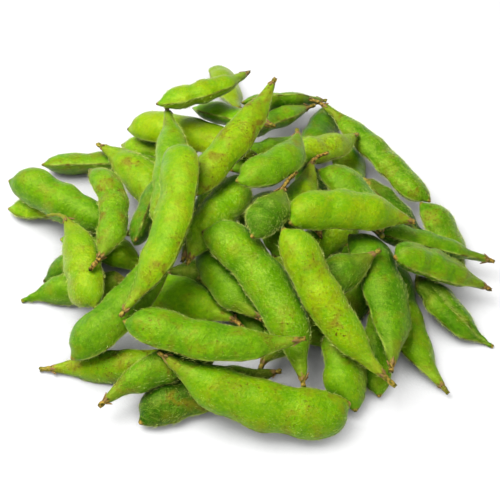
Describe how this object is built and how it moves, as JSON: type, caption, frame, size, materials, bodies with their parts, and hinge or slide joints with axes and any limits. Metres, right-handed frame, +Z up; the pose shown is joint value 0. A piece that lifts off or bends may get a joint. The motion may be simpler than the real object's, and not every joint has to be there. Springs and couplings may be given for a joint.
{
  "type": "edamame pod bundle",
  "caption": "Loose heap of whole fresh soybean pods with short dry stalks, lying on a flat surface.",
  "frame": {"origin": "centre of the heap's bounding box, on the surface that it lies on", "axes": "+X to the right along the heap's near side, +Y to the far side, +Z up"},
  "size_m": [0.1742, 0.1784, 0.0445],
  "materials": {
    "pod_skin": "fresh downy green pod skin with brown freckles, dry brown stalk and point"
  },
  "bodies": {
    "root": {"pod_01": "pod_skin", "pod_02": "pod_skin", "pod_03": "pod_skin", "pod_04": "pod_skin", "pod_05": "pod_skin", "pod_06": "pod_skin", "pod_07": "pod_skin", "pod_08": "pod_skin", "pod_09": "pod_skin", "pod_10": "pod_skin", "pod_11": "pod_skin", "pod_12": "pod_skin", "pod_13": "pod_skin", "pod_14": "pod_skin", "pod_15": "pod_skin", "pod_16": "pod_skin", "pod_17": "pod_skin", "pod_18": "pod_skin", "pod_19": "pod_skin", "pod_20": "pod_skin", "pod_21": "pod_skin", "pod_22": "pod_skin", "pod_23": "pod_skin", "pod_24": "pod_skin", "pod_25": "pod_skin", "pod_26": "pod_skin", "pod_27": "pod_skin", "pod_28": "pod_skin", "pod_29": "pod_skin", "pod_30": "pod_skin", "pod_31": "pod_skin", "pod_32": "pod_skin", "pod_33": "pod_skin", "pod_34": "pod_skin", "pod_35": "pod_skin", "pod_36": "pod_skin", "pod_37": "pod_skin", "pod_38": "pod_skin", "pod_39": "pod_skin", "pod_40": "pod_skin", "pod_41": "pod_skin", "pod_42": "pod_skin", "pod_43": "pod_skin", "pod_44": "pod_skin", "pod_45": "pod_skin", "pod_46": "pod_skin", "pod_47": "pod_skin", "pod_48": "pod_skin", "pod_49": "pod_skin", "pod_50": "pod_skin", "pod_51": "pod_skin", "pod_52": "pod_skin", "pod_53": "pod_skin", "pod_54": "pod_skin", "pod_55": "pod_skin", "pod_56": "pod_skin", "pod_57": "pod_skin", "pod_58": "pod_skin", "pod_59": "pod_skin", "pod_60": "pod_skin"}
  },
  "joints": []
}
